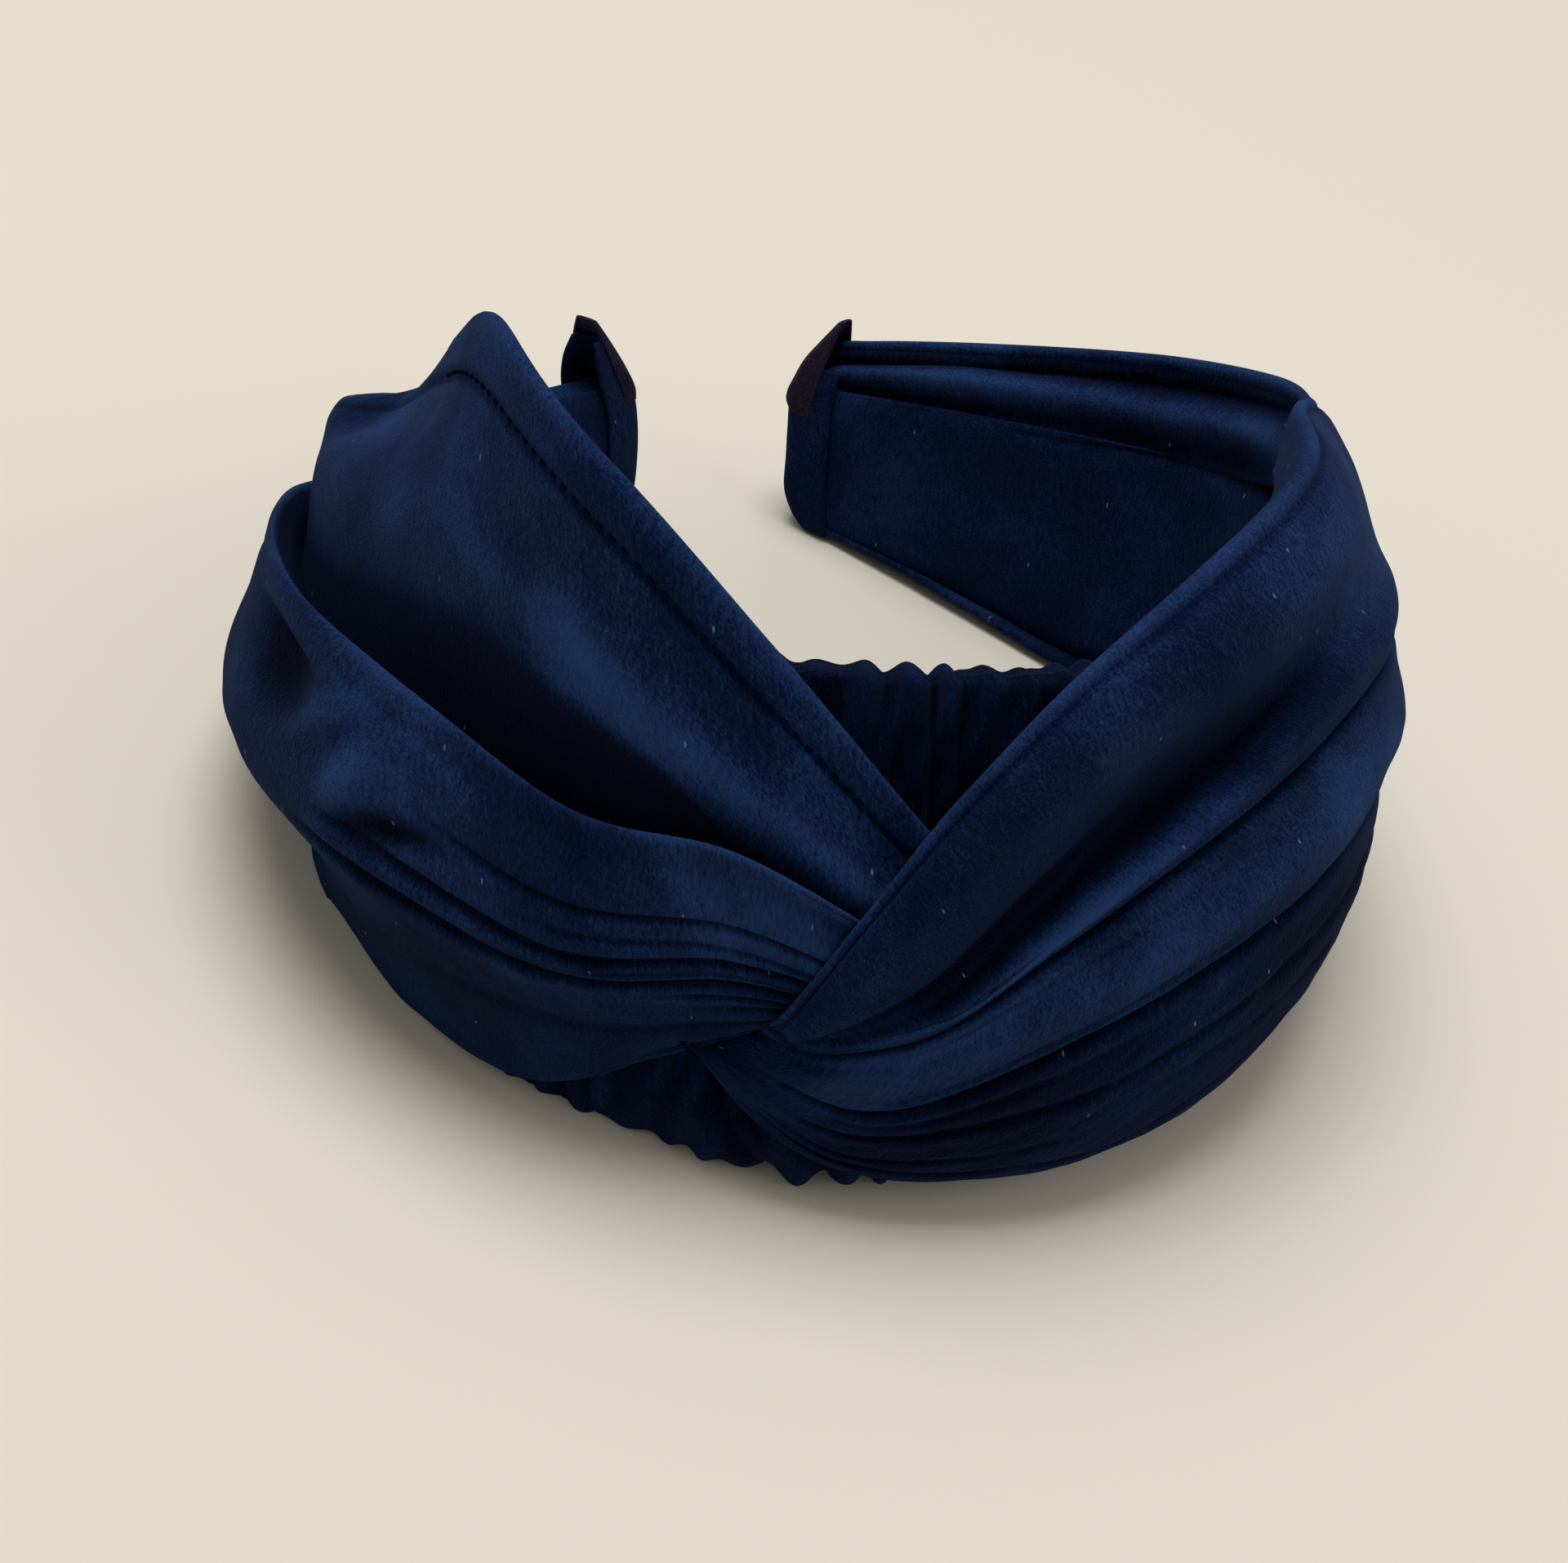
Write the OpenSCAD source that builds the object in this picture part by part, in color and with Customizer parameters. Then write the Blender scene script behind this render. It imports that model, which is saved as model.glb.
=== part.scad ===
// Wide knotted headband: a sprung core inside gathered, knotted and pleated cloth.
// Built level with its middle plane on z = 0, then laid down on its lower edge.

/* [Band] */
// Radius of the crown curve, to the middle of the core
crown_radius = 64; // [56:1:72]
// Radius of the tighter curve of each arm
arm_radius = 40; // [30:1:50]
// Straight length of each arm, up to the end of the core
arm_straight = 52; // [40:1:66]
// Thickness of the core strip
core_thickness = 1.8; // [1.2:0.1:2.6]
// How far the band leans when it rests on its lower edge
rest_lean = 9; // [6:0.5:12]
// Height of the middle plane above the table, at the middle of the opening
middle_height = 22; // [18:0.5:28]

/* [Cloth] */
// Thickness of the flat lining cloth
lining_thickness = 1; // [0.6:0.1:1.6]
// How far the left lobe stands out from the core
left_puff = 17; // [10:0.5:20]
// How far the right lobe stands out from the core
right_puff = 18; // [10:0.5:20]
// How far the cloth on the arms stands out from the core
arm_puff = 10; // [6:0.5:12]
// Half of the angle that the gathered sleeve covers
sleeve_angle = 52; // [40:1:60]
// Length of one hem stitch
stitch_length = 2.2; // [1.5:0.1:3]

/* [Movement] */
// Largest outward flex of each arm, which the cloth is cut back for
flex_angle = 25; // [15:1:28]
// Clearance between pieces that move on each other
clearance = 0.3; // [0.2:0.05:0.6]

/* [Hidden] */
$fn = 96;
half_core = core_thickness / 2;
gap = 0.3;
lining_out = -half_core - gap;
lining_in = lining_out - lining_thickness;
lean_slope = tan(rest_lean);
low_level = -22.25;
curve_x = crown_radius - arm_radius;
far = 200;
hinge_x = crown_radius + half_core;

// Laid down on the table.
module laid() {
    translate([0, 0, middle_height]) rotate([-rest_lean, 0, 0]) children();
}

// A slab across the band, bounded by the upper edge line and the resting line.
module side_form(up, low) {
    rotate([90, 0, 90]) linear_extrude(height = 2 * far, center = true)
        polygon([[-120, low_level + low - 120 * lean_slope],
                 [80, low_level + low + 80 * lean_slope],
                 [80, 7 + up], [66, 10.6 + up], [48, 15 + up], [30, 18.9 + up],
                 [0, 24.4 + up], [-32, 29 + up], [-64, 32 + up], [-120, 34 + up]]);
}

// A slab bounded by the resting plane only.
module above_table() {
    rotate([90, 0, 90]) linear_extrude(height = 2 * far, center = true)
        polygon([[-120, low_level - 120 * lean_slope],
                 [120, low_level + 120 * lean_slope],
                 [120, 120], [-120, 120]]);
}

// An outline seen from the crown, carried back to the middle of the band.
module front_form(points, grow) {
    translate([0, -clearance / 2, 0]) rotate([90, 0, 0]) linear_extrude(height = 120)
        offset(delta = grow) polygon(points);
}

// Half ring at the crown between two offsets from the core.
module crown_ring(o0, o1, a) {
    intersection() {
        difference() {
            cylinder(r = crown_radius + o1, h = 160, center = true);
            cylinder(r = crown_radius + o0, h = 161, center = true);
        }
        linear_extrude(height = 158, center = true)
            if (a >= 90) translate([-far, -far - clearance / 2]) square([2 * far, far]);
            else polygon([[0, 0], [-far * sin(a), -far * cos(a)], [-far * sin(a / 2), -far],
                          [far * sin(a / 2), -far], [far * sin(a), -far * cos(a)]]);
    }
}

// A swelling ring at the crown with a round outer face.
module crown_swell(o0, bulge, tube, middle) {
    rotate_extrude() intersection() {
        translate([crown_radius + bulge - tube, middle]) circle(r = tube);
        translate([crown_radius + o0, -90]) square([90, 180]);
    }
}

// Right arm between two offsets: the tight curve, then the straight.
module arm_plan(o0, o1, length) {
    translate([curve_x, 0]) {
        intersection() {
            difference() {
                circle(r = arm_radius + o1);
                circle(r = arm_radius + o0);
            }
            polygon([[0, 0], [far, 0], [far, far]]);
        }
        rotate(45) translate([arm_radius + o0, 0]) square([o1 - o0, length]);
    }
}

// Cut that leaves room for the arm to flex outward.
module arm_start() {
    linear_extrude(height = 170, center = true)
        polygon([[0, clearance / 2], [hinge_x, clearance / 2],
                 [hinge_x + 40, clearance / 2 + 40 * tan(flex_angle + 1.5)],
                 [hinge_x + 40, far], [0, far]]);
}

module arm_slab(o0, o1, length, up, low) {
    intersection() {
        linear_extrude(height = 150, center = true) arm_plan(o0, o1, length);
        side_form(up, low);
        arm_start();
    }
}

// Cloth over the outside and the top edge of the right arm.
module arm_cloth() {
    difference() {
        intersection() {
            union() {
                intersection() {
                    translate([curve_x, 0, 0]) cylinder(r = arm_radius + arm_puff, h = 150, center = true);
                    linear_extrude(height = 150, center = true) arm_plan(-3.2, arm_puff, 20);
                }
                linear_extrude(height = 150, center = true) translate([curve_x, 0]) rotate(45)
                    polygon([[arm_radius - 3.2, 0], [arm_radius + arm_puff, 0],
                             [arm_radius + arm_puff, 20],
                             [arm_radius + 7, 40],
                             [arm_radius + 4.6, arm_straight + 1],
                             [arm_radius - 3.2, arm_straight + 1]]);
            }
            side_form(7, 0);
            arm_start();
        }
        intersection() {
            linear_extrude(height = 152, center = true) arm_plan(-4, half_core + gap, 60);
            side_form(0.6, -40);
        }
        translate([curve_x, 0, 0]) rotate([0, 0, 45])
            translate([arm_radius - 3.8, arm_straight - 5.3, -60])
                cube([3.8 + 3.7, 12, 120]);
    }
}

// Cloth cap around the end of the right arm.
module tip_cap() {
    intersection() {
        difference() {
            translate([curve_x, 0, 0]) rotate([0, 0, 45])
                translate([arm_radius - 3.4, arm_straight - 5, -60]) cube([6.8, 6.4, 120]);
            translate([curve_x, 0, 0]) rotate([0, 0, 45])
                translate([arm_radius - half_core - gap, arm_straight - 6, -70])
                    cube([2 * (half_core + gap), 6.3, 140]);
        }
        side_form(1.4, 0.2);
    }
}

left_lobe = [[-84, 12], [-75, 18], [-67, 20.5], [-57, 19.5], [-42, 16.5], [-27, 16.5],
             [-13, 10.5], [-8, 2], [-12, -9], [-27, -22], [-42, -26], [-57, -28],
             [-84, -28]];
left_flap = [[-84, 12.6], [-75, 18.6], [-67, 21.1], [-57, 20.1], [-42, 17.1], [-27, 17.1],
             [-13, 11.3], [-4, 12], [-3, 18], [-21, 36], [-42, 50], [-64, 53], [-84, 50]];
right_band = [[84, 46], [60, 52], [42, 53], [25, 49], [6, 42], [-5, 27], [-12, 12],
              [-18, -1], [-20, -8], [-9, -7.5], [0, 10], [8, 21], [22, 31], [42, 36],
              [60, 36], [84, 32]];
right_lobe = [[84, 31.2], [60, 35.2], [42, 35.2], [22.3, 30.2], [8.6, 20.2], [0.8, 9.4],
              [-8.6, -8.4], [-20, -9], [-27, -13], [-24, -21], [-16, -27], [-5, -31],
              [20, -40], [84, -40]];

module core_crown() {
    color("DimGray") laid() intersection() {
        crown_ring(-half_core, half_core, 90);
        side_form(-0.8, 1.6);
    }
}

module right_core() {
    arm_slab(-half_core, half_core, arm_straight, -0.8, 1.6);
}
module core_right_arm() { color("DimGray") laid() right_core(); }
module core_left_arm() { color("DimGray") laid() mirror([1, 0, 0]) right_core(); }

module crown_sleeve() {
    color("MidnightBlue") laid() difference() {
        intersection() {
            crown_ring(-3.4, 3, sleeve_angle);
            side_form(1.4, 0.1);
        }
        intersection() {
            crown_ring(-half_core - gap, half_core + gap, 89);
            side_form(-0.4, 1.3);
        }
    }
}

module right_lining_crown() {
    intersection() {
        crown_ring(lining_in, lining_out, 90);
        side_form(-0.2, 1);
        linear_extrude(height = 150, center = true)
            polygon([[0, 0], [far, 0], [far, -far],
                     [far * sin(sleeve_angle + 0.4), -far * cos(sleeve_angle + 0.4)]]);
    }
}
module right_lining_arm() {
    arm_slab(lining_in, lining_out, arm_straight - 5.3, -0.2, 1);
}
module lining_right_crown() { color("SteelBlue") laid() right_lining_crown(); }
module lining_left_crown() { color("SteelBlue") laid() mirror([1, 0, 0]) right_lining_crown(); }
module lining_right_arm() { color("SteelBlue") laid() right_lining_arm(); }
module lining_left_arm() { color("SteelBlue") laid() mirror([1, 0, 0]) right_lining_arm(); }

module right_band_body(grow) {
    intersection() {
        rotate_extrude() polygon([
            [crown_radius + 9.4 - grow, -20 - grow], [crown_radius + 16 + grow, -20 - grow],
            [crown_radius + 18 + grow, 6], [crown_radius + 16 + grow, 30],
            [crown_radius + 7 + grow, 50], [crown_radius - 2, 58 + grow],
            [crown_radius - 6 - grow, 56 + grow], [crown_radius - 6 - grow, 52],
            [crown_radius + 4.4 - grow, 38], [crown_radius + 9.4 - grow, 20]]);
        front_form(right_band, grow);
    }
}
module right_lobe_body(grow) {
    intersection() {
        crown_swell(3.4 - grow, right_puff + grow, 38, -2);
        front_form(right_lobe, grow);
    }
}

module left_wrap_crown() {
    color("MidnightBlue") laid() difference() {
        intersection() {
            crown_swell(3.4, left_puff, 34, -5);
            front_form(left_lobe, 0);
            above_table();
        }
        right_band_body(0.4);
        right_lobe_body(0.4);
    }
}

module left_flap_crown() {
    color("MidnightBlue") laid() intersection() {
        rotate_extrude() polygon([
            [crown_radius + 3.4, 8], [crown_radius + 9, 8], [crown_radius + 9, 20],
            [crown_radius + 4, 37], [crown_radius - 4, 50], [crown_radius - 10, 56],
            [crown_radius - 14, 53], [crown_radius - 2, 40], [crown_radius + 3.4, 34]]);
        front_form(left_flap, 0);
    }
}

module right_strip_crown() { color("MidnightBlue") laid() right_band_body(0); }

module right_wrap_crown() {
    color("MidnightBlue") laid() intersection() {
        right_lobe_body(0);
        above_table();
    }
}

module right_wrap_arm() { color("MidnightBlue") laid() arm_cloth(); }
module left_wrap_arm() { color("MidnightBlue") laid() mirror([1, 0, 0]) arm_cloth(); }
module right_tip_cap() { color("RosyBrown") laid() tip_cap(); }
module left_tip_cap() { color("RosyBrown") laid() mirror([1, 0, 0]) tip_cap(); }

// Radius of the flap's outer face at a height above the middle plane.
function flap_face(z) = crown_radius + (z < 37 ? 9 - 5 * (z - 20) / 17 : 4 - 8 * (z - 37) / 13);

// One row of stitches along the hem of the left flap.
module hem_stitches() {
    color("SlateGray") laid() for (i = [0 : 9])
        rotate([0, 0, -58 + 4 * i])
            translate([0, -flap_face(43 - 1.4 * i) - 0.5, 43 - 1.4 * i])
                rotate([0, 90, 0]) cylinder(r = 0.3, h = stitch_length, center = true, $fn = 12);
}

core_crown();
core_left_arm();
core_right_arm();
crown_sleeve();
lining_left_crown();
lining_left_arm();
lining_right_crown();
lining_right_arm();
left_wrap_crown();
left_flap_crown();
left_wrap_arm();
right_strip_crown();
right_wrap_crown();
right_wrap_arm();
left_tip_cap();
right_tip_cap();
hem_stitches();
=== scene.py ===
import math

import bpy
import numpy as np
from mathutils import Matrix


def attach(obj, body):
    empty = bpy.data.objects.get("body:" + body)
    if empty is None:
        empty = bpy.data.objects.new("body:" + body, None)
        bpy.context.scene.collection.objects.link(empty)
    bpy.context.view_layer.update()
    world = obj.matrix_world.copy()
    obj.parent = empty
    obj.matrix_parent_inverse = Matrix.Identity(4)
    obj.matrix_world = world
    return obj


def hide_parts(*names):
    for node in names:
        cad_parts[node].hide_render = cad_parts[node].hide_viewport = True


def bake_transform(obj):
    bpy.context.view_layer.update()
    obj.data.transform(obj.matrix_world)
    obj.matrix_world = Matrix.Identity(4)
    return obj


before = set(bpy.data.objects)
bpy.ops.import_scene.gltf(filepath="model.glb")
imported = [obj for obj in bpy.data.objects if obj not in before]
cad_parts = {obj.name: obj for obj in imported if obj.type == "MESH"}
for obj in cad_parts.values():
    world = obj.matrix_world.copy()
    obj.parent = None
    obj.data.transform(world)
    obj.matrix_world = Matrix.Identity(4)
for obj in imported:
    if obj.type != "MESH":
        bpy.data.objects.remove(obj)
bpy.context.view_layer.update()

# Sizes are in millimetres until laid_down() turns them to metres.
MM = 0.001

# The core follows a crown arc, then a tighter arc at each side, then a straight arm to the tip.
CROWN_RADIUS = 64.0
ARM_RADIUS = 40.0
QUARTER = CROWN_RADIUS * math.pi / 2
BEND = ARM_RADIUS * math.pi / 4

# At rest the band leans back on its lower edge, with its middle line this high at the hinges.
LEAN = math.radians(9)
MIDDLE_HEIGHT = 22.0
TABLE_GAP = 0.15

VELVET_THICKNESS = 0.9
LINING_THICKNESS = 0.6
SLEEVE_THICKNESS = 0.5
TIP_THICKNESS = 0.4

# Mesh steps of a panel, across the band and along it.
PANEL_ROWS = 230
PANEL_COLS = 300

# Places across a panel are counted in its listed lines, from 0 at the turned-in upper edge.
EDGE_ROLL = 1.05
HEM_LINE = 1.65

THREAD_RADIUS = 0.24


# ---------------------------------------------------------------- the band's own directions

def band_point(s, z, out):
    """s runs along the core from the crown (+ to the right), z up across it, out away from the head."""
    side = np.where(s < 0, -1.0, 1.0)
    a = np.abs(s)
    turn = a / CROWN_RADIUS
    x_crown = (CROWN_RADIUS + out) * np.sin(turn)
    y_crown = -(CROWN_RADIUS + out) * np.cos(turn)
    bend = np.clip((a - QUARTER) / ARM_RADIUS, 0, math.pi / 4) + math.pi / 2
    beyond = np.clip(a - QUARTER - BEND, 0, None)
    x_arm = CROWN_RADIUS - ARM_RADIUS + (ARM_RADIUS + out) * np.sin(bend) + beyond * np.cos(bend)
    y_arm = -(ARM_RADIUS + out) * np.cos(bend) + beyond * np.sin(bend)
    on_arm = a > QUARTER
    x = side * np.where(on_arm, x_arm, x_crown)
    y = np.where(on_arm, y_arm, y_crown)
    return np.stack([x, y, z + 0 * x], axis=-1)


def laid_down(points):
    """From the level band in mm to the band resting on its lower edge, in metres."""
    x, y, z = points[..., 0], points[..., 1], points[..., 2]
    up = MIDDLE_HEIGHT - y * math.sin(LEAN) + z * math.cos(LEAN)
    forward = y * math.cos(LEAN) + z * math.sin(LEAN)
    return np.stack([x, forward, np.maximum(up, TABLE_GAP)], axis=-1) * MM


def through(values, count):
    """A smooth line through given values, cut into count even steps."""
    p = np.asarray(values, float)
    p = np.concatenate([2 * p[:1] - p[1:2], p, 2 * p[-1:] - p[-2:-1]])
    t = np.linspace(0, len(values) - 1.0001, count)
    i = t.astype(int)
    f = (t - i).reshape([-1] + [1] * (p.ndim - 1))
    a, b, c, d = p[i], p[i + 1], p[i + 2], p[i + 3]
    slope = (c - a) * f
    square = (2 * a - 5 * b + 4 * c - d) * f * f
    cube = (3 * b - a - 3 * c + d) * f ** 3
    return 0.5 * (2 * b + slope + square + cube)


def smooth_step(low, high, value):
    """Rises softly from 0 at low to 1 at high, and falls when low is the larger of the two."""
    t = np.clip((value - low) / (high - low), 0, 1)
    return t * t * (3 - 2 * t)


def hump(centre, width, value):
    """A soft bump of height 1 round a centre."""
    return np.exp(-((value - centre) / width) ** 2)


def wander(value, seed, scale):
    """A slow irregular wave between about -1 and 1."""
    phase = np.random.default_rng(seed).uniform(0, 2 * math.pi, 4)
    waves = [np.sin(value / scale * rate + p) for rate, p in zip((1.0, 1.73, 2.9, 4.7), phase)]
    return (waves[0] + 0.7 * waves[1] + 0.5 * waves[2] + 0.3 * waves[3]) / 1.9


def grid_normals(points, closed=False):
    """The direction square to the cloth at each point. A closed grid joins its last row to its first."""
    if closed:
        across = np.roll(points, -1, axis=0) - np.roll(points, 1, axis=0)
    else:
        across = np.gradient(points, axis=0)
    along = np.gradient(points, axis=1)
    n = np.cross(along, across)
    return n / np.maximum(np.linalg.norm(n, axis=-1, keepdims=True), 1e-9)


# ---------------------------------------------------------------- meshes

def new_object(name, verts, faces, material, smooth=True):
    mesh = bpy.data.meshes.new(name)
    mesh.from_pydata(verts, [], faces)
    mesh.polygons.foreach_set("use_smooth", [smooth] * len(mesh.polygons))
    mesh.materials.append(material)
    obj = bpy.data.objects.new(name, mesh)
    bpy.context.collection.objects.link(obj)
    return obj


def cloth_mesh(name, points, thickness, material, closed=False, painted_shading=None):
    """Cloth with two faces, thickness mm apart, closed round its edges.

    The painted shading runs from -1, painted shade that darkens the colour, to 1, a painted highlight
    that lightens it.
    """
    rows, cols = points.shape[:2]
    n = rows * cols
    normals = grid_normals(points, closed)
    back = points - normals * thickness
    verts = np.concatenate([laid_down(points).reshape(-1, 3), laid_down(back).reshape(-1, 3)])
    row_steps = rows if closed else rows - 1
    faces = []
    for r in range(row_steps):
        r2 = (r + 1) % rows
        for c in range(cols - 1):
            a, b, d, e = r * cols + c, r * cols + c + 1, r2 * cols + c + 1, r2 * cols + c
            faces.append((a, b, d, e))
            faces.append((n + a, n + e, n + d, n + b))
    for r in range(row_steps):
        r2 = (r + 1) % rows
        for c in (0, cols - 1):
            a, b = r * cols + c, r2 * cols + c
            faces.append((a, b, n + b, n + a) if c == 0 else (b, a, n + a, n + b))
    if not closed:
        for r in (0, rows - 1):
            for c in range(cols - 1):
                a, b = r * cols + c, r * cols + c + 1
                faces.append((b, a, n + a, n + b) if r == 0 else (a, b, n + b, n + a))
    obj = new_object(name, verts.tolist(), faces, material)
    mesh = obj.data
    # The cloth's own flat directions, measured along its surface, so that patterns keep their real size.
    steps_along = np.linalg.norm(np.diff(points, axis=1), axis=-1)
    steps_across = np.linalg.norm(np.diff(points, axis=0), axis=-1)
    along = np.concatenate([np.zeros((rows, 1)), np.cumsum(steps_along, axis=1)], 1)
    across = np.concatenate([np.zeros((1, cols)), np.cumsum(steps_across, axis=0)], 0)
    flat = np.stack([along.mean(0)[None, :] + 0 * along, across], axis=-1).reshape(-1, 2) * MM
    flat = np.concatenate([flat, flat])
    uv = mesh.uv_layers.new(name="weave")
    index = np.zeros(len(mesh.loops), int)
    mesh.loops.foreach_get("vertex_index", index)
    uv.data.foreach_set("uv", flat[index].ravel())
    # Painted shade and painted highlights, kept on the mesh for the material to darken or lighten its
    # colour.
    painted_tone = np.zeros((rows, cols)) if painted_shading is None else np.clip(painted_shading, -1, 1)
    painted_layer = mesh.attributes.new("painted_shade_and_highlight", "FLOAT", "POINT")
    both_faces = np.concatenate([painted_tone.ravel(), painted_tone.ravel()])
    painted_layer.data.foreach_set("value", both_faces.astype(np.float32))
    mesh.update()
    return obj


# ---------------------------------------------------------------- materials

def hex_colour(code):
    """An sRGB hex value turned to linear colour."""
    parts = [int(code[i:i + 2], 16) / 255 for i in (1, 3, 5)]
    linear = [c / 12.92 if c <= 0.04045 else ((c + 0.055) / 1.055) ** 2.4 for c in parts]
    return (*linear, 1.0)


def add(tree, kind, settings=None, links=None):
    """Adds a node, sets its properties and sockets, and links its inputs from other sockets."""
    node = tree.nodes.new(kind)
    for key, value in (settings or {}).items():
        if not isinstance(key, int) and hasattr(node, key):
            setattr(node, key, value)
        else:
            node.inputs[key].default_value = value
    for key, source in (links or {}).items():
        tree.links.new(source, node.inputs[key])
    return node


def new_material(name):
    material = bpy.data.materials.new(name)
    material.use_nodes = True
    tree = material.node_tree
    tree.nodes.clear()
    return material, tree


def marks_apart(size):
    """Scale of a pattern whose marks lie size mm apart. Positions on the cloth are in metres."""
    return 1.0 / (size * MM)


def velvet(name, deep, dark, light, sheen, pile_depth):
    """Velvet: a short cut pile, dark face-on and pale where it turns away, with shade and highlights
    painted into its colour from values stored on the cloth.
    """
    material, tree = new_material(name)
    where = add(tree, "ShaderNodeUVMap", {"uv_map": "weave"})
    # Painted shade and painted highlights stored on the cloth: below 0 the colour darkens towards near
    # black in folds and creases, above 0 it turns paler on ridges and rims that face the light.
    painted_tone = add(tree, "ShaderNodeAttribute", {"attribute_name": "painted_shade_and_highlight"})
    # Handling lays the pile in soft patches, each a little lighter or darker.
    patches = add(tree, "ShaderNodeTexNoise",
                  {"Scale": marks_apart(22), "Detail": 4.0, "Roughness": 0.6},
                  {"Vector": where.outputs["UV"]})
    # Real tufts of pile stand about 0.1 mm apart. That is too fine to draw, so they are drawn at 0.4 mm.
    tufts = add(tree, "ShaderNodeTexNoise",
                {"Scale": marks_apart(0.4), "Detail": 3.0, "Roughness": 0.75},
                {"Vector": where.outputs["UV"]})
    # Fine broken ribs of pile run across the cloth on a slant, 1.6 mm long and 0.5 mm apart.
    ribs_apart = (marks_apart(0.5), marks_apart(1.6), 1.0)
    slant = add(tree, "ShaderNodeMapping",
                {"Rotation": (0.0, 0.0, math.radians(38)), "Scale": ribs_apart},
                {"Vector": where.outputs["UV"]})
    ribs = add(tree, "ShaderNodeTexNoise", {"Scale": 1.0, "Detail": 2.0, "Roughness": 0.5},
               {"Vector": slant.outputs["Vector"]})
    fine = add(tree, "ShaderNodeMath", {"operation": "MULTIPLY_ADD", 1: 0.5},
               {0: ribs.outputs["Fac"], 2: tufts.outputs["Fac"]})
    mottle = add(tree, "ShaderNodeMath", {"operation": "MULTIPLY_ADD", 1: 0.95},
                 {0: fine.outputs["Value"], 2: patches.outputs["Fac"]})
    tone = add(tree, "ShaderNodeMath", {"operation": "MULTIPLY_ADD", 1: 0.55},
               {0: painted_tone.outputs["Fac"], 2: mottle.outputs["Value"]})
    spread = add(tree, "ShaderNodeMapRange", {"From Min": 0.75, "From Max": 1.72},
                 {"Value": tone.outputs["Value"]})
    # From the near black of painted shade, through the cloth's own colour, to the pale side of lighter
    # patches and painted highlights.
    ramp = add(tree, "ShaderNodeValToRGB", {}, {"Fac": spread.outputs["Result"]})
    ramp.color_ramp.elements[0].color = hex_colour(deep)
    ramp.color_ramp.elements[0].position = 0.1
    ramp.color_ramp.elements[1].color = hex_colour(light)
    ramp.color_ramp.elements[1].position = 0.95
    middle = ramp.color_ramp.elements.new(0.45)
    middle.color = hex_colour(dark)
    # A few pale bits of lint, about 0.3 mm wide and 12 to 30 mm apart, cling to the pile.
    slid = add(tree, "ShaderNodeMapping",
               {"Rotation": (0.0, 0.0, math.radians(-25)), "Scale": (1.0, 0.4, 1.0)},
               {"Vector": where.outputs["UV"]})
    lint = add(tree, "ShaderNodeTexVoronoi", {"voronoi_dimensions": "2D", "Scale": marks_apart(12)},
               {"Vector": slid.outputs["Vector"]})
    speck = add(tree, "ShaderNodeMapRange", {"From Min": 0.015, "From Max": 0.005},
                {"Value": lint.outputs["Distance"]})
    dusted = add(tree, "ShaderNodeMix", {"data_type": "RGBA", 7: hex_colour("#5F7094")},
                 {0: speck.outputs["Result"], 6: ramp.outputs["Color"]})
    bump = add(tree, "ShaderNodeBump", {"Strength": 0.9, "Distance": pile_depth},
               {"Height": fine.outputs["Value"]})
    body = add(tree, "ShaderNodeBsdfPrincipled",
               {"Roughness": 0.85, "Specular IOR Level": 0.02, "IOR": 1.5, "Sheen Weight": sheen,
                "Sheen Roughness": 0.38, "Sheen Tint": hex_colour("#5C7ABC")},
               {"Base Color": dusted.outputs[2], "Normal": bump.outputs["Normal"]})
    add(tree, "ShaderNodeOutputMaterial", {}, {"Surface": body.outputs["BSDF"]})
    return material


def plain_finish(name, colour, roughness, specular):
    """A plain matte surface with a faint cloudiness, as moulded plastic and spun thread have."""
    material, tree = new_material(name)
    where = add(tree, "ShaderNodeTexCoord")
    # The cloudiness comes in spots 2.5 mm apart.
    cloud = add(tree, "ShaderNodeTexNoise", {"Scale": marks_apart(2.5), "Detail": 2.0},
                {"Vector": where.outputs["Object"]})
    amount = add(tree, "ShaderNodeMapRange", {"To Min": 0.8, "To Max": 1.2},
                 {"Value": cloud.outputs["Fac"]})
    shade = add(tree, "ShaderNodeMix", {"data_type": "RGBA", "blend_type": "MULTIPLY", 0: 1.0,
                                        6: hex_colour(colour)}, {7: amount.outputs["Result"]})
    body = add(tree, "ShaderNodeBsdfPrincipled",
               {"Roughness": roughness, "Specular IOR Level": specular, "IOR": 1.5},
               {"Base Color": shade.outputs[2]})
    add(tree, "ShaderNodeOutputMaterial", {}, {"Surface": body.outputs["BSDF"]})
    return material


# In each velvet below, the first colour is the near black used mostly for painted shade in folds and
# creases, and the last the pale end used for lighter patches and painted highlights.
# Navy cotton velvet, woven, cut and dyed: nearly black face-on, slate blue where it turns away.
navy_velvet = velvet("navy_velvet", "#040414", "#0B1939", "#26406F", 0.2, 0.0005)
# Brushed lining cloth with a shorter nap: flatter and a little duller than the velvet.
lining_velvet = velvet("lining_velvet", "#050617", "#0B1736", "#203661", 0.2, 0.0004)
# Purple-brown velvet ribbon: the same cut pile in a warmer and redder dye.
cap_velvet = velvet("cap_velvet", "#0D0914", "#29202E", "#4A3C4C", 0.2, 0.0004)
# Spun sewing thread, dyed: matte, and darker than the cloth it sinks into.
stitch_thread = plain_finish("stitch_thread", "#060D26", 0.9, 0.0)
# Moulded plastic, straight from the mould: dark grey with a low, even shine.
core_plastic = plain_finish("core_plastic", "#22242A", 0.5, 0.4)

for node in ("core_crown", "core_left_arm", "core_right_arm"):
    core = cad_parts[node]
    core.data.materials.clear()
    core.data.materials.append(core_plastic)


# ---------------------------------------------------------------- the cloth panels

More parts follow.
